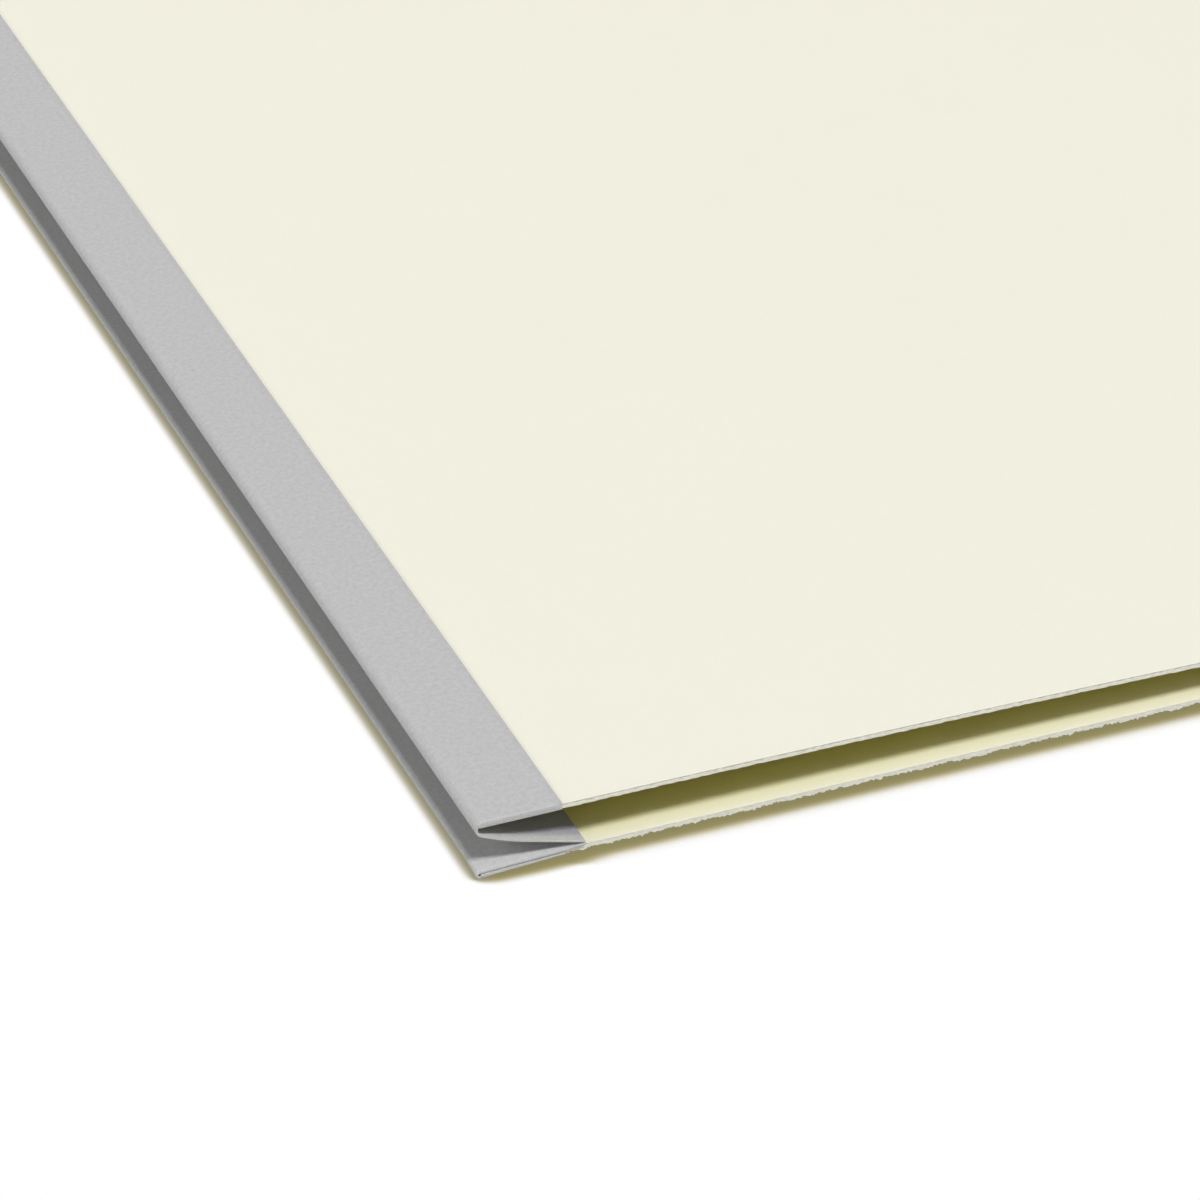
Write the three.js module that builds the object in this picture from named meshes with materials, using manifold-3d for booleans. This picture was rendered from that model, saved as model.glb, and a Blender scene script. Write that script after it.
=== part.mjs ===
import * as THREE from 'three';
import { mergeVertices } from 'three/addons/utils/BufferGeometryUtils.js';
import Module from 'manifold-3d';

const wasm = await Module();
wasm.setup();

// Closed pressboard folder lying on its back cover, in millimetres.
// X runs from the spine to the fore edge, Y along the spine and Z up from the table.

// Pressboard covers
const boardThickness = 0.635;
const coverLength = 298.45;
const frontCoverWidth = 222.25;
const backCoverWidth = 241.3;
const frontCornerRadius = 3.2;
const tabCornerRadius = 9.5;

// Gusset tape: one strip, glued to both outer faces and folded into the spine like a letter M
const tapeThickness = 0.3;
const frontFlapWidth = 10.08;
const backFlapWidth = 11.1;
const leafDepth = 13.8;
const upperFoldRadius = 1.2;
const leafLift = THREE.MathUtils.degToRad(15.3);
const leafSpringRadius = 36;

// How the closed folder lies
const spineOpening = 6.04;
const frontSetback = 0.62;
const foreEdgeRest = 0.1;

// Clearances
const glueGap = 0.03;
const foldGap = 0.05;

// Smoothness of the curves
const bowSegments = 18;
const leafSegments = 10;
const foldSegments = 12;
const cornerSegments = 10;

// Levels that follow from the stack of tape, board, tape
const backBoardBottom = tapeThickness + glueGap;
const backBoardTop = backBoardBottom + boardThickness;
const lowerLeafBottom = backBoardTop + glueGap;
const lowerLeafTop = lowerLeafBottom + tapeThickness;
const lowerFoldRadius = lowerLeafTop / 2;
const frontBoardBottom = backBoardTop + spineOpening;
const frontTapeTop = frontBoardBottom + boardThickness + glueGap + tapeThickness;
const upperFoldCentre = new THREE.Vector2(frontSetback, frontTapeTop - upperFoldRadius);
const lipReach = glueGap + tapeThickness;

// The front cover leaves the spine level and bows down until its fore edge rests on the back cover
const bowDrop = spineOpening - foreEdgeRest;
const bowRadius = (frontCoverWidth ** 2 + bowDrop ** 2) / (2 * bowDrop);
const bowCentre = new THREE.Vector2(frontSetback, frontBoardBottom - bowRadius);

const pressboard = () => new THREE.MeshStandardMaterial({ color: 0xf0eedf, roughness: 0.82, metalness: 0 });
const gussetTape = () => new THREE.MeshStandardMaterial({ color: 0xc0c0c0, roughness: 0.74, metalness: 0 });

// A profile drawn in X and Z, drawn out along the spine between two values of Y
function alongSpine(profile, startY, endY, curveSegments) {
  const geometry = new THREE.ExtrudeGeometry(profile, {
    depth: endY - startY,
    bevelEnabled: false,
    curveSegments,
  });
  geometry.rotateX(Math.PI / 2);
  geometry.translate(0, endY, 0);
  return geometry;
}

function block(minX, maxX, startY, endY, minZ, maxZ) {
  const geometry = new THREE.BoxGeometry(maxX - minX, endY - startY, maxZ - minZ);
  geometry.translate((minX + maxX) / 2, (startY + endY) / 2, (minZ + maxZ) / 2);
  return geometry;
}

function solidOf(geometry) {
  const bare = geometry.clone();
  bare.deleteAttribute('normal');
  bare.deleteAttribute('uv');
  const merged = mergeVertices(bare.index ? bare.toNonIndexed() : bare, 1e-5);
  return new wasm.Manifold(new wasm.Mesh({
    numProp: 3,
    vertProperties: new Float32Array(merged.attributes.position.array),
    triVerts: new Uint32Array(merged.index.array),
  }));
}

function geometryOf(solid) {
  const cut = solid.getMesh();
  const geometry = new THREE.BufferGeometry();
  geometry.setAttribute('position', new THREE.BufferAttribute(cut.vertProperties, 3));
  geometry.setIndex(new THREE.BufferAttribute(cut.triVerts, 1));
  geometry.computeVertexNormals();
  return geometry;
}

function named(name, geometry, material) {
  const mesh = new THREE.Mesh(geometry, material);
  mesh.name = name;
  return mesh;
}

// The plan of a cover: square at the spine, rounded at the two fore-edge corners
function coverPlan(spineX, width, cornerRadius) {
  const foreX = spineX + width;
  const plan = new THREE.Shape();
  plan.moveTo(spineX, 0);
  plan.lineTo(foreX - cornerRadius, 0);
  plan.absarc(foreX - cornerRadius, cornerRadius, cornerRadius, -Math.PI / 2, 0, false);
  plan.lineTo(foreX, coverLength - cornerRadius);
  plan.absarc(foreX - cornerRadius, coverLength - cornerRadius, cornerRadius, 0, Math.PI / 2, false);
  plan.lineTo(spineX, coverLength);
  plan.closePath();
  return plan;
}

// A point on the bow: so far from the front cover's spine edge, and so high above its underside
function bowPoint(reach, height) {
  const lean = Math.asin(reach / bowRadius);
  const radius = bowRadius + height;
  return new THREE.Vector2(bowCentre.x + radius * Math.sin(lean), bowCentre.y + radius * Math.cos(lean));
}

function lineToPoints(shape, points) {
  for (const point of points) {
    shape.lineTo(point.x, point.y);
  }
}

// The front cover's section, out to a given reach
function bowedBoard(reach) {
  const lean = Math.asin(reach / bowRadius);
  const board = new THREE.Shape();
  board.absarc(bowCentre.x, bowCentre.y, bowRadius + boardThickness, Math.PI / 2, Math.PI / 2 - lean, true);
  board.absarc(bowCentre.x, bowCentre.y, bowRadius, Math.PI / 2 - lean, Math.PI / 2, false);
  board.closePath();
  return board;
}

// A round stretch of tape about a fold centre, between two angles
function foldArc(centre, radius, startAngle, endAngle) {
  const arc = new THREE.Shape();
  arc.absarc(centre.x, centre.y, radius, startAngle, endAngle, false);
  arc.absarc(centre.x, centre.y, radius - tapeThickness, endAngle, startAngle, true);
  arc.closePath();
  return arc;
}

// Back cover: wider than the front one, so that its fore edge stands out as a straight tab
function backCover() {
  const geometry = new THREE.ExtrudeGeometry(coverPlan(0, backCoverWidth, tabCornerRadius), {
    depth: boardThickness,
    bevelEnabled: false,
    curveSegments: cornerSegments,
  });
  geometry.translate(0, 0, backBoardBottom);
  return named('back_cover', geometry, pressboard());
}

// Front cover: the bowed board, trimmed to its plan
function frontCover() {
  const trimMargin = 2;
  const bowed = alongSpine(
    bowedBoard(frontCoverWidth + trimMargin), -trimMargin, coverLength + trimMargin, bowSegments);
  const planHeight = bowDrop + boardThickness + 2 * trimMargin;
  const trim = new THREE.ExtrudeGeometry(coverPlan(frontSetback, frontCoverWidth, frontCornerRadius), {
    depth: planHeight,
    bevelEnabled: false,
    curveSegments: cornerSegments,
  });
  trim.translate(0, 0, frontBoardBottom + boardThickness + trimMargin - planHeight);
  return named('front_cover', geometryOf(solidOf(bowed).intersect(solidOf(trim))), pressboard());
}

// Back flap: the tape's glued end under the back cover, with a lip over the board at both ends
function backFlap() {
  const clear = backFlapWidth;
  const blank = block(0, backFlapWidth, -lipReach, coverLength + lipReach, 0, backBoardTop);
  const board = block(-clear, backFlapWidth + clear, -glueGap, coverLength + glueGap,
    tapeThickness, backBoardTop + clear);
  return named('back_flap', geometryOf(solidOf(blank).subtract(solidOf(board))), gussetTape());
}

// Lower fold: the half turn round the back cover's spine edge
function lowerFold() {
  const centre = new THREE.Vector2(0, lowerFoldRadius);
  const turn = foldArc(centre, lowerFoldRadius, Math.PI / 2, 3 * Math.PI / 2);
  return named('lower_fold', alongSpine(turn, -lipReach, coverLength + lipReach, foldSegments), gussetTape());
}

// Lower leaf: the flat half of the gusset, lying on the inner face of the back cover
function lowerLeaf() {
  const sheet = block(foldGap, leafDepth, -lipReach, coverLength + lipReach, lowerLeafBottom, lowerLeafTop);
  return named('lower_leaf', sheet, gussetTape());
}

// Upper leaf: straight out of the centre crease, then springing up in a long curve to the upper fold
function upperLeaf() {
  const along = new THREE.Vector2(Math.cos(leafLift), -Math.sin(leafLift));
  const up = new THREE.Vector2(Math.sin(leafLift), Math.cos(leafLift));
  const crease = new THREE.Vector2(leafDepth, lowerLeafTop + glueGap);
  const reach = crease.clone().addScaledVector(up, leafSpringRadius).sub(upperFoldCentre);
  const forward = reach.dot(along);
  const straight = forward
    - Math.sqrt(forward ** 2 - reach.lengthSq() + (leafSpringRadius - upperFoldRadius) ** 2);
  const curveStart = crease.clone().addScaledVector(along, -straight);
  const curveCentre = curveStart.clone().addScaledVector(up, leafSpringRadius);
  const startAngle = Math.atan2(-up.y, -up.x);
  const endAngle = Math.atan2(upperFoldCentre.y - curveCentre.y, upperFoldCentre.x - curveCentre.x);
  const profile = new THREE.Shape();
  profile.moveTo(crease.x, crease.y);
  profile.absarc(curveCentre.x, curveCentre.y, leafSpringRadius, startAngle, endAngle, true);
  profile.absarc(curveCentre.x, curveCentre.y, leafSpringRadius - tapeThickness, endAngle, startAngle, false);
  profile.lineTo(crease.x + tapeThickness * up.x, crease.y + tapeThickness * up.y);
  profile.closePath();
  const leaf = alongSpine(profile, -lipReach, coverLength + lipReach, leafSegments);
  const turningRoom = new THREE.CylinderGeometry(
    upperFoldRadius + foldGap, upperFoldRadius + foldGap, coverLength + 4 * lipReach, 4 * foldSegments);
  turningRoom.translate(upperFoldCentre.x, coverLength / 2, upperFoldCentre.y);
  return named('upper_leaf', geometryOf(solidOf(leaf).subtract(solidOf(turningRoom))), gussetTape());
}

// Upper fold: the lower quarter of the turn round the front cover's spine edge
function upperFold() {
  const startAngle = Math.PI + foldGap / upperFoldRadius;
  const endAngle = 3 * Math.PI / 2 - leafLift;
  const turn = foldArc(upperFoldCentre, upperFoldRadius, startAngle, endAngle);
  return named('upper_fold', alongSpine(turn, -lipReach, coverLength + lipReach, foldSegments), gussetTape());
}

// Front flap: the upper quarter of the turn and the tape's glued end, with a lip over the board at both ends
function frontFlap() {
  const underTape = boardThickness + glueGap;
  const midTape = underTape + tapeThickness / 2;
  const overTape = underTape + tapeThickness;
  const profile = new THREE.Shape();
  profile.absarc(upperFoldCentre.x, upperFoldCentre.y, upperFoldRadius, Math.PI, Math.PI / 2, true);
  lineToPoints(profile, [bowPoint(frontFlapWidth, overTape), bowPoint(frontFlapWidth, underTape)]);
  profile.absarc(
    upperFoldCentre.x, upperFoldCentre.y, upperFoldRadius - tapeThickness, Math.PI / 2, Math.PI, false);
  profile.closePath();
  const lip = new THREE.Shape([
    bowPoint(0, 0), bowPoint(frontFlapWidth, 0), bowPoint(frontFlapWidth, midTape), bowPoint(0, midTape)]);
  const tape = solidOf(alongSpine(profile, -lipReach, coverLength + lipReach, foldSegments));
  const nearLip = solidOf(alongSpine(lip, -lipReach, -glueGap, foldSegments));
  const farLip = solidOf(alongSpine(lip, coverLength + glueGap, coverLength + lipReach, foldSegments));
  return named('front_flap', geometryOf(tape.add(nearLip).add(farLip)), gussetTape());
}

const folder = new THREE.Group();
folder.add(backCover(), backFlap(), lowerFold(), lowerLeaf(), upperLeaf(), upperFold(), frontFlap(), frontCover());

// The origin is the middle of the closed folder's footprint, on the table
const spineOverhang = Math.max(lowerFoldRadius, upperFoldRadius - frontSetback);
folder.position.set(-(backCoverWidth - spineOverhang) / 2, -coverLength / 2, 0);

export default folder;
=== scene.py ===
import math

import bmesh
import bpy
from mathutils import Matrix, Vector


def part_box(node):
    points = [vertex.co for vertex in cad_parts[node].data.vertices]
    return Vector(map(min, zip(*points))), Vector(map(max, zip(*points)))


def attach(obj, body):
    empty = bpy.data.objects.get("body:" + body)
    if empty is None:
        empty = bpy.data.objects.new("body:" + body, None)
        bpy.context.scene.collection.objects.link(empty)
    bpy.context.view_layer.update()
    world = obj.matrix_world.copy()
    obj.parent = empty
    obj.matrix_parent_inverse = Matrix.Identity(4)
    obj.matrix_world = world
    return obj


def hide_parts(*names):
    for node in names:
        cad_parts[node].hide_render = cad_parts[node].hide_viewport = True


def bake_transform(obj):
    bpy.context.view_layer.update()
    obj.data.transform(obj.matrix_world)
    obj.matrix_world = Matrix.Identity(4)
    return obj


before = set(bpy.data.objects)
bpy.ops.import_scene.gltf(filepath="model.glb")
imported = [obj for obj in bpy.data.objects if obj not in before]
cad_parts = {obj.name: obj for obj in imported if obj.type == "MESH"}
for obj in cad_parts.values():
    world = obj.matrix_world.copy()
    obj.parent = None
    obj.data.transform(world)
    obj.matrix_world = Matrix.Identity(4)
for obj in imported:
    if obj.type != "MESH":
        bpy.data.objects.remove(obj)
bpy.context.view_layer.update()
bpy.ops.object.select_all(action="DESELECT")


# Camera: a long lens that looks down on the near corner of the spine,
# from the left and in front, as in the photograph.
bpy.ops.object.camera_add(
    location=(-0.326001, -0.688470, 0.408879),
    rotation=(math.radians(57.377), 0, math.radians(-22.323)),
)
camera = bpy.context.object
camera.name = "camera"
camera.data.sensor_width = 36
camera.data.lens = 174.811
camera.data.clip_start = 0.01
camera.data.clip_end = 50
bpy.context.scene.camera = camera


# Table: the pale surface that the folder lies on. It shows white, and it takes a narrow
# olive shade only where the folder stands close over it, narrower and grayer at the spine.
def new_material(name):
    """A new material and its node tree."""
    material = bpy.data.materials.new(name)
    material.use_nodes = True
    return material, material.node_tree


def feed(tree, socket, value):
    """Gives a socket a plain value, or another node's result."""
    if isinstance(value, bpy.types.NodeSocket):
        tree.links.new(value, socket)
    else:
        socket.default_value = value


def remap(tree, value, start, end, low=0.0, high=1.0, eased=False):
    """A shader value moved from one range of numbers to another."""
    node = tree.nodes.new("ShaderNodeMapRange")
    if eased:
        node.interpolation_type = "SMOOTHSTEP"
    ranges = {"Value": value, "From Min": start, "From Max": end, "To Min": low, "To Max": high}
    for name, given in ranges.items():
        feed(tree, node.inputs[name], given)
    return node.outputs["Result"]


def calculate(tree, operation, *values):
    """One step of arithmetic on shader values and numbers."""
    node = tree.nodes.new("ShaderNodeMath")
    node.operation = operation
    for socket, value in zip(node.inputs, values):
        feed(tree, socket, value)
    return node.outputs["Value"]


def free_space(tree, distance, samples):
    """How free the space over a surface is within a distance: 0 is shut, 1 is open."""
    node = tree.nodes.new("ShaderNodeAmbientOcclusion")
    node.samples = samples
    feed(tree, node.inputs["Distance"], distance)
    return node.outputs["AO"]


floor_z = -0.00038  # just under the tape's sagging corners
bpy.ops.mesh.primitive_plane_add(size=8, location=(0, 0, floor_z))
table = bpy.context.object
table.name = "table"
table_paper, tree = new_material("white_table")
tree.nodes.clear()
place = tree.nodes.new("ShaderNodeTexCoord")
axes = tree.nodes.new("ShaderNodeSeparateXYZ")
tree.links.new(place.outputs["Object"], axes.inputs["Vector"])
by_gusset = remap(tree, axes.outputs["X"], -0.1040, -0.1085, eased=True)
by_spine = remap(tree, axes.outputs["X"], -0.1175, -0.1215, eased=True)

# The shade reaches 4 mm out from the covers, 2.7 mm beside the gusset's end and 1.9 mm
# beside the spine, where it is also weaker.
shade_reach = calculate(tree, "MULTIPLY_ADD", by_gusset, -0.0013, 0.004)
shade_reach = calculate(tree, "MULTIPLY_ADD", by_spine, -0.0008, shade_reach)
weakening = calculate(tree, "MULTIPLY", by_spine, 0.52)
openness = remap(tree, free_space(tree, shade_reach, samples=32), 0, 1, low=weakening)
shades = (
    (0.40, (0.27, 0.245, 0.115)),
    (0.68, (0.305, 0.27, 0.12)),
    (0.77, (0.34, 0.30, 0.145)),
    (0.83, (0.41, 0.37, 0.20)),
    (0.88, (0.52, 0.47, 0.31)),
    (0.92, (0.72, 0.68, 0.56)),
    (0.945, (0.90, 0.88, 0.82)),
    (0.965, (1, 1, 1)),
)
shade = tree.nodes.new("ShaderNodeValToRGB")
points = shade.color_ramp.elements
points[0].position = shades[0][0]
points[1].position = shades[-1][0]
for position, colour in shades[1:-1]:
    points.new(position)
for point, (position, colour) in zip(points, shades):
    point.color = (*colour, 1)
tree.links.new(openness, shade.inputs["Fac"])
tint = tree.nodes.new("ShaderNodeHueSaturation")
tree.links.new(shade.outputs["Color"], tint.inputs["Color"])
feed(tree, tint.inputs["Saturation"], calculate(tree, "MULTIPLY_ADD", by_spine, -0.4, 1.0))
shown = tree.nodes.new("ShaderNodeEmission")
tree.links.new(tint.outputs["Color"], shown.inputs["Color"])
felt = tree.nodes.new("ShaderNodeBsdfDiffuse")
felt.inputs["Color"].default_value = (0.86, 0.86, 0.84, 1)
rays = tree.nodes.new("ShaderNodeLightPath")
seen = calculate(tree, "MAXIMUM", rays.outputs["Is Camera Ray"], rays.outputs["Is Glossy Ray"])
mixed = tree.nodes.new("ShaderNodeMixShader")
tree.links.new(seen, mixed.inputs["Fac"])
tree.links.new(felt.outputs["BSDF"], mixed.inputs[1])
tree.links.new(shown.outputs["Emission"], mixed.inputs[2])
output = tree.nodes.new("ShaderNodeOutputMaterial")
tree.links.new(mixed.outputs["Shader"], output.inputs["Surface"])
table.data.materials.append(table_paper)


# Light: one large soft lamp high in front lights the face and a narrow strip inside the
# front edge. Wide weaker ones stand left and right, and the room itself is dim.
world = bpy.data.worlds.new("dim_room")
bpy.context.scene.world = world
world.use_nodes = True
room = world.node_tree.nodes["Background"]
room.inputs["Color"].default_value = (1, 1, 1, 1)
room.inputs["Strength"].default_value = 0.10
for lamp_name, towards, spread, strength in (
    ("high_front_lamp", (0.10, -0.454, 0.889), 12, 2.40),
    ("left_wall_lamp", (-0.866, 0, 0.5), 40, 1.05),
    ("right_lamp", (0.70, 0.1, 0.70), 40, 0.45),
):
    bpy.ops.object.light_add(type="SUN")
    lamp = bpy.context.object
    lamp.name = lamp_name
    lamp.rotation_euler = Vector(towards).to_track_quat("Z", "Y").to_euler()
    lamp.data.angle = math.radians(spread)
    lamp.data.energy = strength


# Back cover: one sheet of ivory pressboard with rounded tab corners. The guillotine
# leaves its cut edge gray and fibrous, torn along the underside.
def blank(name, min_x, max_x, min_y, max_y, z):
    """A flat rectangle to start a piece from."""
    bpy.ops.object.select_all(action="DESELECT")
    centre = ((min_x + max_x) / 2, (min_y + max_y) / 2, z)
    bpy.ops.mesh.primitive_plane_add(size=1, location=centre)
    piece = bpy.context.object
    piece.name = piece.data.name = name
    piece.scale = (max_x - min_x, max_y - min_y, 1)
    bpy.ops.object.transform_apply(location=True, rotation=True, scale=True)
    return piece


def pick_edges(piece, wanted):
    """Selects the edges whose two ends pass a test."""
    bpy.ops.mesh.select_mode(type="EDGE")
    bpy.ops.mesh.select_all(action="DESELECT")
    mesh = bmesh.from_edit_mesh(piece.data)
    for edge in mesh.edges:
        if all(wanted(vert.co) for vert in edge.verts):
            edge.select_set(True)
    bmesh.update_edit_mesh(piece.data)


def cut_across(direction, places):
    """Cuts the whole piece across a direction, at each place along it."""
    for place in places:
        bpy.ops.mesh.select_all(action="SELECT")
        bpy.ops.mesh.bisect(plane_co=[part * place for part in direction], plane_no=direction)


along_x, along_y, along_z = (1, 0, 0), (0, 1, 0), (0, 0, 1)
on_line = 1e-6


def board_blank(name, min_x, max_x, half_length, top, thickness, corner):
    """A board cut from flat sheet: fine rows of faces along its cut edges, plain faces
    between them. Each point notes its depth, from 0 on the upper face to 1 underneath."""
    board = blank(name, min_x, max_x, -half_length, half_length, top)
    bpy.ops.object.mode_set(mode="EDIT")
    bpy.ops.mesh.select_mode(type="VERT")
    bpy.ops.mesh.select_all(action="DESELECT")
    mesh = bmesh.from_edit_mesh(board.data)
    for vert in mesh.verts:
        vert.select_set(vert.co.x > max_x - on_line)
    bmesh.update_edit_mesh(board.data)
    bpy.ops.mesh.bevel(offset=corner, segments=14, affect="VERTICES")
    for cuts, is_edge in (
        (44, lambda co: abs(co.y) > half_length - on_line),
        (44, lambda co: abs(co.y) > half_length - on_line),
        (21, lambda co: co.x > max_x - on_line),
        (21, lambda co: co.x > max_x - on_line),
        (60, lambda co: co.x < min_x + on_line),
    ):
        pick_edges(board, is_edge)
        bpy.ops.mesh.subdivide(number_cuts=cuts)
    bpy.ops.mesh.select_mode(type="FACE")
    bpy.ops.mesh.select_all(action="SELECT")
    bpy.ops.mesh.inset(thickness=0.00025)
    bpy.ops.mesh.select_all(action="SELECT")
    bpy.ops.mesh.extrude_region_move(TRANSFORM_OT_translate={"value": (0, 0, -thickness)})
    cut_across(along_z, [top - thickness * row / 5 for row in range(1, 5)])
    bpy.ops.mesh.select_all(action="SELECT")
    bpy.ops.mesh.normals_make_consistent(inside=False)
    bpy.ops.object.mode_set(mode="OBJECT")
    depth = board.data.attributes.new("depth", "FLOAT", "POINT")
    for vert in board.data.vertices:
        depth.data[vert.index].value = (top - vert.co.z) / thickness
    return board


def rim_weights(board, name, weigh):
    """A vertex group that holds what weigh() gives for each vertex."""
    group = board.vertex_groups.new(name=name)
    for vert in board.data.vertices:
        weight = weigh(vert.co)
        if weight > 0:
            group.add([vert.index], weight, "REPLACE")


def roughen(board, group, direction, grain, depth, strength, level=0.5):
    """Moves one vertex group in and out with a cloudy grain."""
    texture = bpy.data.textures.new(f"{board.name}_{group}", "CLOUDS")
    texture.noise_scale = grain
    texture.noise_depth = depth
    rough = board.modifiers.new(group, "DISPLACE")
    rough.texture = texture
    rough.texture_coords = "LOCAL"
    rough.vertex_group = group
    rough.direction = direction
    rough.strength = strength
    rough.mid_level = level
    bpy.context.view_layer.objects.active = board
    bpy.ops.object.modifier_apply(modifier=rough.name)


def fray(board, max_x, half_length, bottom, pitting, tears, share_above):
    """Pits a board's cut edge, and tears the rim along its underside."""
    def at_cut_edge(co, inside):
        return abs(co.y) > half_length - inside or co.x > max_x - inside

    def torn_share(co):
        if not at_cut_edge(co, 1.5e-4):
            return 0
        return 1 if co.z < bottom + 1e-4 else share_above if co.z < bottom + 2.4e-4 else 0

    def pitted_share(co):
        return 1 if at_cut_edge(co, 1e-5) else 0.3 if at_cut_edge(co, 3e-4) else 0

    rim_weights(board, "cut_edge", pitted_share)
    roughen(board, "cut_edge", "NORMAL", *pitting)
    rim_weights(board, "torn_rim", torn_share)
    for tear in tears:
        roughen(board, "torn_rim", "Z", *tear)


def noise(tree, place, scale, detail):
    """A cloudy pattern, from 0 to 1."""
    node = tree.nodes.new("ShaderNodeTexNoise")
    node.inputs["Scale"].default_value = scale
    node.inputs["Detail"].default_value = detail
    tree.links.new(place, node.inputs["Vector"])
    return node.outputs["Fac"]


def attribute(tree, name):
    """A number that the mesh holds for each of its points."""
    node = tree.nodes.new("ShaderNodeAttribute")
    node.attribute_name = name
    return node.outputs["Fac"]


def mix_colours(tree, share, first, second):
    """A colour that goes from the first to the second as a share rises."""
    node = tree.nodes.new("ShaderNodeMix")
    node.data_type = "RGBA"
    tree.links.new(share, node.inputs["Factor"])
    for socket, colour in ((node.inputs[6], first), (node.inputs[7], second)):
        feed(tree, socket, (*colour, 1) if isinstance(colour, tuple) else colour)
    return node.outputs[2]


def tone_colour(tree, colour, tone):
    """A colour made lighter or darker by a shader value."""
    node = tree.nodes.new("ShaderNodeVectorMath")
    node.operation = "SCALE"
    feed(tree, node.inputs[0], colour)
    tree.links.new(tone, node.inputs["Scale"])
    return node.outputs["Vector"]


def dress(tree, colour, roughness, specular, height, strength, distance):
    """Finishes a matt surface, with the relief that a pattern gives it."""
    shader = tree.nodes["Principled BSDF"]
    relief = tree.nodes.new("ShaderNodeBump")
    relief.inputs["Strength"].default_value = strength
    relief.inputs["Distance"].default_value = distance
    tree.links.new(height, relief.inputs["Height"])
    tree.links.new(relief.outputs["Normal"], shader.inputs["Normal"])
    tree.links.new(colour, shader.inputs["Base Color"])
    feed(tree, shader.inputs["Roughness"], roughness)
    shader.inputs["Specular IOR Level"].default_value = specular


# Ivory, then the painted shade of the inner faces while shut: olive yellow between the covers,
# paler at their rims where light reaches in.
ivory, painted_gap_shade, painted_rim_light = (0.855, 0.837, 0.722), (0.73, 0.685, 0.32), (0.865, 0.85, 0.70)
near_face = 0.012


def painted_shade_colour(tree, place, half_length, fore_edge):
    """Ivory with painted shade: olive yellow where another face lies close, fading to a paler
    painted shade at the rims, where light reaches in.
    """
    axes = tree.nodes.new("ShaderNodeSeparateXYZ")
    tree.links.new(place, axes.inputs["Vector"])
    to_end = calculate(tree, "ABSOLUTE", axes.outputs["Y"])
    rims = [
        remap(tree, way, limit - 0.0062, limit + 0.0008, eased=True)
        for way, limit in ((to_end, half_length), (axes.outputs["X"], fore_edge))
    ]
    shut = mix_colours(tree, calculate(tree, "MAXIMUM", *rims), painted_gap_shade, painted_rim_light)
    is_open = remap(tree, free_space(tree, near_face, samples=8), 0.78, 0.96, eased=True)
    return mix_colours(tree, is_open, shut, ivory)


def board_face(name, inner_reach=None):
    """Calendered pressboard: an even ivory with faint clouds and fibres. An inner face is
    given how far it reaches, for the painted shade that it takes while the folder is shut."""
    material, tree = new_material(name)
    place = tree.nodes.new("ShaderNodeTexCoord").outputs["Object"]
    base = painted_shade_colour(tree, place, *inner_reach) if inner_reach else ivory
    clouds = noise(tree, place, scale=40, detail=5)
    fibres = noise(tree, place, scale=2400, detail=3)
    mottle = remap(tree, clouds, 0, 1, 0.993, 1.007)
    speck = remap(tree, fibres, 0, 1, 0.98, 1.02)
    colour = tone_colour(tree, base, calculate(tree, "MULTIPLY", mottle, speck))
    dress(
        tree, colour, roughness=remap(tree, fibres, 0, 1, 0.75, 0.9), specular=0.2,
        height=fibres, strength=0.1, distance=0.00003)
    return material


def raw_edge(name, arris_colour, core_colour):
    """The cut through the board: a crushed gray arris, then pale layered fibre, rough and matt."""
    material, tree = new_material(name)
    place = tree.nodes.new("ShaderNodeTexCoord")
    stretch = tree.nodes.new("ShaderNodeMapping")
    stretch.inputs["Scale"].default_value = (1100, 1100, 5000)
    tree.links.new(place.outputs["Object"], stretch.inputs["Vector"])
    layers = noise(tree, stretch.outputs["Vector"], scale=1, detail=5)
    wandering_depth = calculate(tree, "MULTIPLY_ADD", layers, 0.8, attribute(tree, "depth"))
    is_core = remap(tree, wandering_depth, 0.55, 0.75)
    grain = remap(tree, layers, 0.3, 0.65, 0.86, 1.06)
    colour = tone_colour(tree, mix_colours(tree, is_core, arris_colour, core_colour), grain)
    dress(tree, colour, roughness=0.95, specular=0.1, height=layers, strength=0.5, distance=0.00006)
    return material


def finish_board(board, upper, lower, edge):
    """Gives a board its three surfaces: upper face, underside and cut edge."""
    for material in (upper, lower, edge):
        board.data.materials.append(material)
    for face in board.data.polygons:
        if abs(face.normal.z) > 0.8:
            face.material_index = 0 if face.normal.z > 0 else 1
        else:
            face.material_index = 2
    bpy.ops.object.select_all(action="DESELECT")
    board.select_set(True)
    bpy.context.view_layer.objects.active = board
    bpy.ops.object.shade_smooth_by_angle(angle=math.radians(40))
    for face in board.data.polygons:
        face.use_smooth = face.use_smooth and len(face.vertices) < 5


low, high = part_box("back_cover")
board_thickness = high.z - low.z
spine_x, board_end = low.x, high.y
back_board = board_blank(
    "back_board", spine_x, high.x, board_end, high.z, board_thickness, corner=0.0095)
fray(
    back_board, high.x, board_end, low.z, pitting=(0.0007, 4, 0.00012),
    tears=((0.0011, 6, 0.0007, 0.62), (0.00028, 3, 0.00055, 0.44)), share_above=0.35)
outer_face = board_face("ivory_outer_face")
# The inner face is ivory with painted shade, olive yellow while the folder is shut.
inner_face = board_face("inner_face_painted_shade", (board_end, high.x))
torn_cut = raw_edge("torn_cut_edge", (0.70, 0.69, 0.62), (0.76, 0.745, 0.67))
finish_board(back_board, inner_face, outer_face, torn_cut)
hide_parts("back_cover")
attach(back_board, "back")


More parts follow.
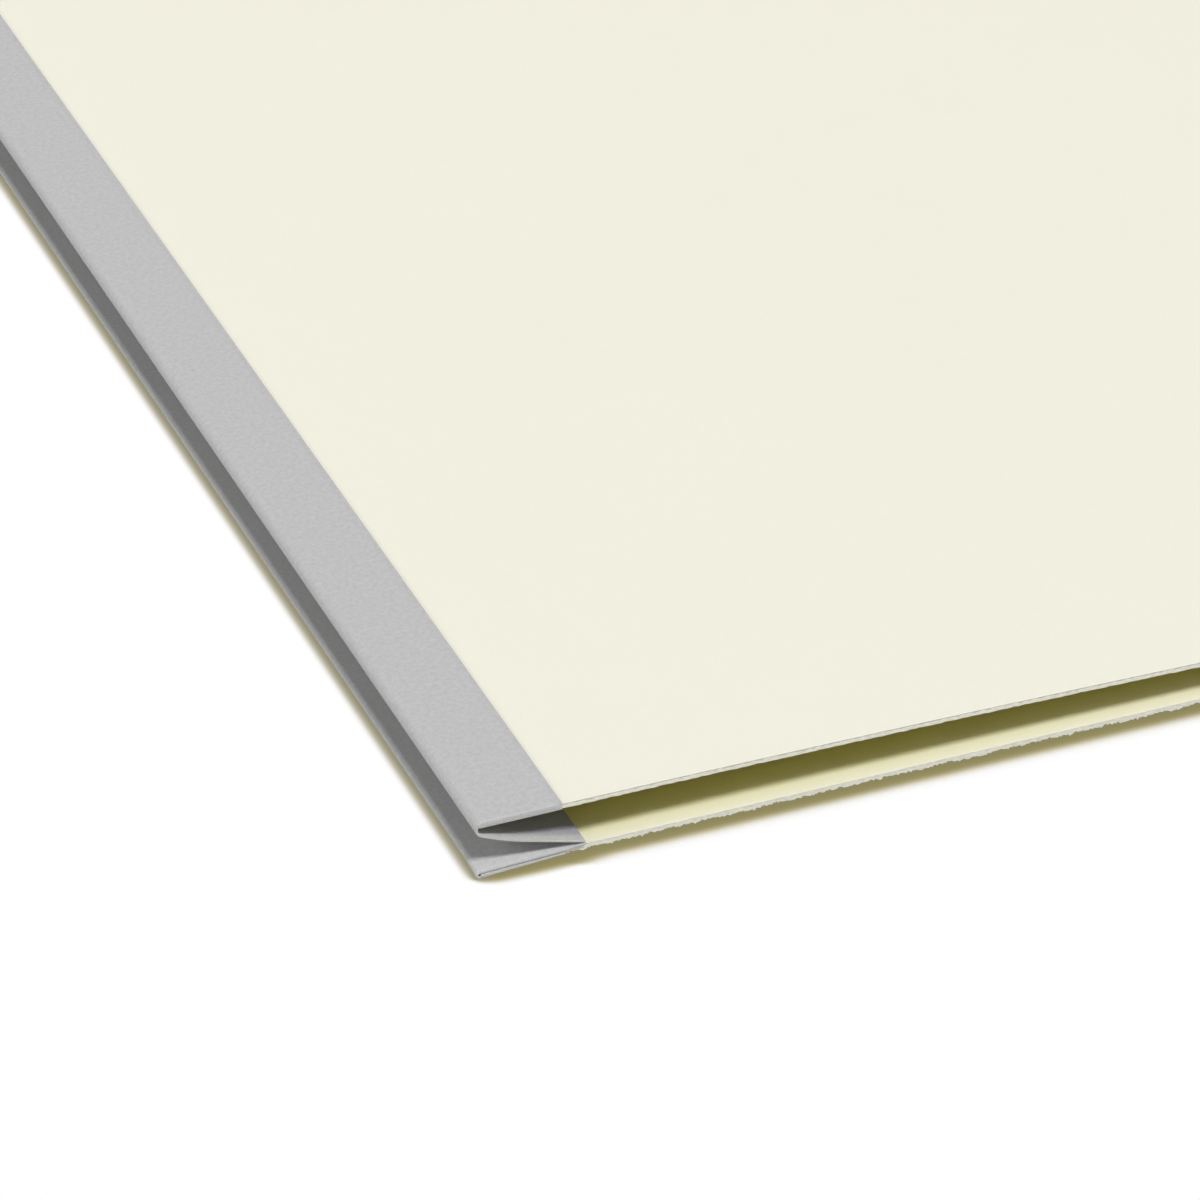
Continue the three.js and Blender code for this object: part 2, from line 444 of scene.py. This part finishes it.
# Front cover: the same board, narrower. It leaves the spine level and bows down
# until its fore edge rests on the back cover. Its cut edge is cleaner.
low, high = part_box("front_cover")
bow_radius = 4.1608
underside = high.z - board_thickness
flat_width = bow_radius * math.asin((high.x - low.x) / bow_radius)
front_board = board_blank(
    "front_board", low.x, low.x + flat_width, high.y, high.z, board_thickness, corner=0.0032)
fray(
    front_board, low.x + flat_width, high.y, underside, pitting=(0.0007, 3, 0.00009),
    tears=((0.0008, 6, 0.00024, 0.58),), share_above=0)
bpy.ops.object.mode_set(mode="EDIT")
bpy.ops.mesh.select_mode(type="FACE")
cut_across(along_x, [low.x + flat_width * strip / 24 for strip in range(1, 24)])
bpy.ops.object.mode_set(mode="OBJECT")
bpy.ops.object.empty_add(location=(low.x, 0, underside), rotation=(math.radians(90), 0, 0))
bow_origin = bpy.context.object
bow = front_board.modifiers.new("bow", "SIMPLE_DEFORM")
bow.deform_method = "BEND"
bow.deform_axis = "Z"
bow.origin = bow_origin
bow.angle = -flat_width / bow_radius
bpy.ops.object.select_all(action="DESELECT")
front_board.select_set(True)
bpy.context.view_layer.objects.active = front_board
bpy.ops.object.modifier_apply(modifier="bow")
bpy.data.objects.remove(bow_origin)
# Its inner face is ivory with painted shade, olive yellow while the folder is shut.
front_inner_face = board_face("front_inner_face_painted_shade", (high.y, high.x))
clean_cut = raw_edge("clean_cut_edge", (0.55, 0.53, 0.47), (0.80, 0.79, 0.70))
finish_board(front_board, outer_face, front_inner_face, clean_cut)
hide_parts("front_cover")
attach(front_board, "front")


# Gusset tape: one strip of gray cloth, folded back and forth between the covers.
# It is laid here in four lengths, because each one bends at one fold. Its cut ends
# turn over the ends of the boards, and droop a little at the corners.
tape_thickness = 0.0003
tape_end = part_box("lower_leaf")[1].y
flap_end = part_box("back_flap")[1].x
flap_width = flap_end - spine_x
leaf_seam = spine_x + 0.009
leaf_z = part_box("lower_leaf")[1].z - tape_thickness / 2
end_cuts = (0.0, 0.0001, 0.0002, 0.0004, 0.0007, 0.0015, 0.003)
past_board = 0.0002
sag_depth, sag_reach = 0.00036, 0.004
droop_depth = 0.00026
pocket_top = 0.0066
thread_pitch = 0.00045


def turn_tape(centre, degrees, steps):
    """Carries the picked edge of the tape round a fold."""
    bpy.ops.mesh.spin(steps=steps, angle=math.radians(degrees), center=centre, axis=along_y)


def run_tape(reach, steps):
    """Carries the picked edge of the tape straight on."""
    step = [part / steps for part in reach]
    for _ in range(steps):
        bpy.ops.mesh.extrude_region_move(TRANSFORM_OT_translate={"value": step})


def both_ends(cuts, beyond=0.0):
    """Where rows of faces go at both ends of the tape, measured in from near the board's end."""
    return [side * (board_end + beyond - cut) for cut in cuts for side in (-1, 1)]


def path_of(tape):
    """The tape's profile: each place on it, in order from the strip's outer edge."""
    mesh = bmesh.from_edit_mesh(tape.data)
    path = []
    for vert in mesh.verts:
        spot = (vert.co.x, vert.co.z)
        if all(math.dist(spot, known) > 1e-7 for known in path):
            path.append(spot)
    path[0], path[1] = path[1], path[0]
    return path


def map_tape(tape, path, fold_end=math.inf):
    """Writes the strip's flat map in metres: U along its width, V along the spine."""
    lengths = [0.0]
    for near, far in zip(path, path[1:]):
        lengths.append(lengths[-1] + math.dist(near, far))

    def along(x, z):
        best, where = 1.0, 0.0
        for start, near, far in zip(lengths, path, path[1:]):
            run, rise = far[0] - near[0], far[1] - near[1]
            span = math.dist(near, far)
            share = ((x - near[0]) * run + (z - near[1]) * rise) / span ** 2
            share = min(max(share, 0), 1)
            off = math.dist((near[0] + run * share, near[1] + rise * share), (x, z))
            if off < best:
                best, where = off, start + span * share
        return where, best

    while tape.data.uv_layers:
        tape.data.uv_layers.remove(tape.data.uv_layers[0])
    flat_map = tape.data.uv_layers.new(name="flat_map")
    for loop in tape.data.loops:
        co = tape.data.vertices[loop.vertex_index].co
        where, off = along(co.x, co.z)
        fallen = off if abs(co.y) > fold_end else 0
        flat_map.data[loop.index].uv = (where, co.y + math.copysign(fallen, co.y))


def cloth_tape(name, gray, painted_pocket_gray):
    """Gray cloth tape: a fine plain weave, uneven from thread to thread. It takes a painted
    shade, a darker bluish gray, inside the gusset's pocket while that is shut."""
    material, tree = new_material(name)
    place = tree.nodes.new("ShaderNodeTexCoord").outputs["UV"]
    threads = []
    for direction in ("X", "Y"):
        thread = tree.nodes.new("ShaderNodeTexWave")
        thread.bands_direction = direction
        thread.inputs["Scale"].default_value = 0.314 / thread_pitch  # bands repeat at 0.314 / Scale
        thread.inputs["Distortion"].default_value = 4.0
        thread.inputs["Detail"].default_value = 2
        thread.inputs["Detail Scale"].default_value = 0.8
        tree.links.new(place, thread.inputs["Vector"])
        threads.append(thread.outputs["Fac"])
    lint = noise(tree, place, scale=1500, detail=5)
    cloth = calculate(tree, "MULTIPLY_ADD", calculate(tree, "MULTIPLY", *threads), 0.22, lint)
    # Painted shade: a darker bluish gray on the leaf's upper side in the pocket, while it lies
    # shut.
    is_shut = remap(tree, free_space(tree, near_face, samples=8), 0.9, 0.55, eased=True)
    painted_pocket_shade = calculate(tree, "MULTIPLY", is_shut, attribute(tree, "pocket"))
    tone = remap(tree, cloth, 0.3, 0.82, 0.91, 1.09)
    colour = tone_colour(tree, mix_colours(tree, painted_pocket_shade, gray, painted_pocket_gray), tone)
    dress(tree, colour, roughness=0.9, specular=0.15, height=cloth, strength=0.35, distance=0.00006)
    return material


def smooth(value, low_end, high_end):
    """Rises smoothly from 0 at the low end to 1 at the high end."""
    share = min(max((value - low_end) / (high_end - low_end), 0), 1)
    return share * share * (3 - 2 * share)


def corner_sag(co):
    """How far the back cover's corners hang down at the two ends of the spine."""
    across = min(max(1 - (co.x - spine_x) / flap_width, 0), 1)
    return sag_depth * across * smooth(abs(co.y), board_end - sag_reach, board_end)


def leaf_droop(co):
    """How far the lower leaf's loose end hangs over the end of the back cover."""
    towards_end = smooth(abs(co.y), board_end - 0.0003, tape_end)
    before_crease = 1 - smooth(co.x, spine_x + 0.0105, spine_x + 0.0134)
    return droop_depth * towards_end * smooth(co.z, 0.0005, 0.0010) * before_crease


def pick_sharp_edges(tape, wanted):
    """Selects the sharp edges whose two ends pass a test."""
    bpy.ops.mesh.select_all(action="DESELECT")
    mesh = bmesh.from_edit_mesh(tape.data)
    for edge in mesh.edges:
        is_sharp = edge.calc_face_angle(0) > math.radians(50)
        edge.select_set(is_sharp and all(wanted(vert.co) for vert in edge.verts))
    bmesh.update_edit_mesh(tape.data)


def thicken(tape, is_cut):
    """Gives the folded sheet its thickness, softens its cut edges and puts the cloth on it."""
    bpy.ops.object.mode_set(mode="OBJECT")
    bpy.ops.object.select_all(action="DESELECT")
    tape.select_set(True)
    bpy.context.view_layer.objects.active = tape
    body = tape.modifiers.new("body", "SOLIDIFY")
    body.thickness = tape_thickness
    body.offset = 0
    body.use_even_offset = True
    bpy.ops.object.modifier_apply(modifier="body")
    bpy.ops.object.mode_set(mode="EDIT")
    bpy.ops.mesh.select_all(action="SELECT")
    bpy.ops.mesh.normals_make_consistent(inside=False)
    bpy.ops.mesh.select_mode(type="EDGE")
    pick_sharp_edges(tape, is_cut)
    bpy.ops.mesh.bevel(offset=0.00006, segments=2, affect="EDGES")
    bpy.ops.object.mode_set(mode="OBJECT")
    tape.data.materials.append(gray_cloth)
    bpy.ops.object.shade_smooth_by_angle(angle=math.radians(50))


def turn_over_end(tape, side, in_flap, lip_z):
    """Turns the end of a glued flap over the end of its board, as far as a height."""
    lip_inset = 0.00015
    pick_edges(tape, lambda co: co.y * side > tape_end - on_line and in_flap(co))
    bpy.ops.transform.translate(value=(0, -side * lip_inset, 0))
    run_tape((0, 0, 0.0001), 1)
    bpy.ops.transform.resize(value=(1, 1, 0), center_override=(0, 0, lip_z))


def soften_lip(tape, is_fold):
    """Rounds the outer fold where the tape turns over the end of a board."""
    bpy.ops.object.mode_set(mode="EDIT")
    pick_sharp_edges(tape, lambda co: abs(co.y) > tape_end - 1e-5 and is_fold(co))
    bpy.ops.mesh.bevel(offset=0.00024, segments=6, affect="EDGES")
    bpy.ops.object.mode_set(mode="OBJECT")


def mark_painted_pocket_shade(tape):
    """Notes which points lie on the leaf's upper side, inside the gusset's pocket, where the cloth
    takes a painted shade.
    """
    pocket = tape.data.attributes.new("pocket", "FLOAT", "POINT")
    for vert in tape.data.vertices:
        if vert.normal.z > 0.3 and leaf_z + tape_thickness < vert.co.z < pocket_top:
            near_end = smooth(abs(vert.co.y), tape_end - 0.0022, tape_end - 0.0006)
            pocket.data[vert.index].value = 1 - near_end


# The second gray is the painted shade for the cloth inside the shut pocket.
gray_cloth = cloth_tape("gray_cloth_tape", (0.508, 0.508, 0.508), (0.3048, 0.3073, 0.3861))

# Back flap: the strip's lower edge, glued flat under the back cover along the spine.
# Its ends turn up over the ends of the board.
back_flap_tape = blank("back_flap_tape", spine_x, flap_end, -tape_end, tape_end, tape_thickness / 2)
bpy.ops.object.mode_set(mode="EDIT")
back_path = path_of(back_flap_tape)
cut_across(along_x, [spine_x + flap_width * strip / 8 for strip in range(1, 8)])
cut_across(along_y, both_ends((0.0015, 0.003)))
for side in (-1, 1):
    turn_over_end(back_flap_tape, side, lambda co: co.z < tape_thickness, 0.00063)
bpy.ops.object.mode_set(mode="OBJECT")
map_tape(back_flap_tape, back_path, board_end)
thicken(back_flap_tape, lambda co: co.x > flap_end - 1e-5 or co.z > tape_thickness + 0.0002)
soften_lip(back_flap_tape, lambda co: co.z < 1e-5)
for vert in back_flap_tape.data.vertices:
    across = max((vert.co.x - spine_x) / flap_width, 0)
    pinch = 0.00028 * across * smooth(abs(vert.co.y), board_end - 0.0015, board_end)
    vert.co.z += pinch * (1 - smooth(vert.co.z, 0, 0.0005))
    vert.co.z -= corner_sag(vert.co)
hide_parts("back_flap")
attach(back_flap_tape, "back")

# Lower leaf: the strip turns round the back cover's spine edge and lies loose on its
# inner face, as far as the seam with the next length.
turn_radius = (leaf_z - tape_thickness / 2) / 2
lower_tape = blank("lower_tape", spine_x, leaf_seam, -tape_end, tape_end, leaf_z)
bpy.ops.object.mode_set(mode="EDIT")
pick_edges(lower_tape, lambda co: co.x < spine_x + on_line)
turn_tape((spine_x, 0, leaf_z - turn_radius), 180, 18)
lower_path = path_of(lower_tape)
cut_across(along_x, [spine_x + 0.0001 * strip for strip in range(1, 16)])
cut_across(along_y, both_ends(end_cuts, past_board))
bpy.ops.object.mode_set(mode="OBJECT")
map_tape(lower_tape, lower_path)
thicken(lower_tape, lambda co: abs(co.y) > tape_end - on_line)
for vert in lower_tape.data.vertices:
    vert.co.z -= leaf_droop(vert.co) + corner_sag(vert.co)
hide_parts("lower_fold", "lower_leaf")
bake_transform(lower_tape)

# Crease: the inner halves of both leaves and the sharp crease between them, from which
# the upper leaf springs up a little.
leaf_lift = math.radians(15.3)
rise_length = 0.0074947
crease_x, crease_radius = spine_x + 0.013436, 0.0002136
crease_tape = blank("crease_tape", leaf_seam, crease_x, -tape_end, tape_end, leaf_z)
bpy.ops.object.mode_set(mode="EDIT")
pick_edges(crease_tape, lambda co: co.x > crease_x - on_line)
turn_tape((crease_x, 0, leaf_z + crease_radius), 180 - math.degrees(leaf_lift), 12)
run_tape((-rise_length * math.cos(leaf_lift), 0, rise_length * math.sin(leaf_lift)), 3)
crease_path = path_of(crease_tape)
crease_path[0], crease_path[1] = crease_path[1], crease_path[0]
cut_across(along_x, [leaf_seam + 0.001 * strip for strip in range(1, 5)])
cut_across(along_y, both_ends(end_cuts, past_board))
bpy.ops.object.mode_set(mode="OBJECT")
map_tape(crease_tape, crease_path)
thicken(crease_tape, lambda co: abs(co.y) > tape_end - on_line)
mark_painted_pocket_shade(crease_tape)
for vert in crease_tape.data.vertices:
    under = 1 - smooth(vert.co.z, leaf_z + 0.0002, leaf_z + 0.0004)
    vert.co.z -= (leaf_droop(vert.co) + corner_sag(vert.co)) * under
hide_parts("upper_leaf")
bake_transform(crease_tape)

# Upper leaf and front flap: the strip springs up to the front cover's spine edge, turns
# round it and is glued on its outer face. Its ends turn down over the ends of the board.
front_flap_z = 0.00782
front_turn = (spine_x + 0.00062, 0, 0.00677)
spring_centre = (spine_x + 0.015723, 0, 0.038122)
front_flap_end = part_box("front_flap")[1].x
front_tape = blank("front_tape", front_turn[0], front_flap_end, -tape_end, tape_end, front_flap_z)
bpy.ops.object.mode_set(mode="EDIT")
pick_edges(front_tape, lambda co: co.x < front_turn[0] + on_line)
turn_tape(front_turn, 154.28, 22)
turn_tape(spring_centre, 10.42, 12)
front_path = path_of(front_tape)
cut_across(along_x, [front_turn[0] + 0.00126 * strip for strip in range(1, 8)])
cut_across(along_y, both_ends(end_cuts[4:], past_board))
for side in (-1, 1):
    turn_over_end(front_tape, side, lambda co: co.z > front_flap_z - 0.0004, 0.00704)
bpy.ops.object.mode_set(mode="OBJECT")
map_tape(front_tape, front_path, board_end)
thicken(
    front_tape,
    lambda co: abs(co.y) > board_end and co.z < front_flap_z - 0.0006
    or co.z > front_flap_z - 0.0002 and co.x > spine_x + 0.01)
soften_lip(front_tape, lambda co: co.z > front_flap_z - 0.0002)
mark_painted_pocket_shade(front_tape)
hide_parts("upper_fold", "front_flap")
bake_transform(front_tape)

# The back cover's spine corners sag with the tape that is glued on them.
for vert in back_board.data.vertices:
    vert.co.z -= corner_sag(vert.co)


bpy.context.scene.view_settings.view_transform = "Standard"
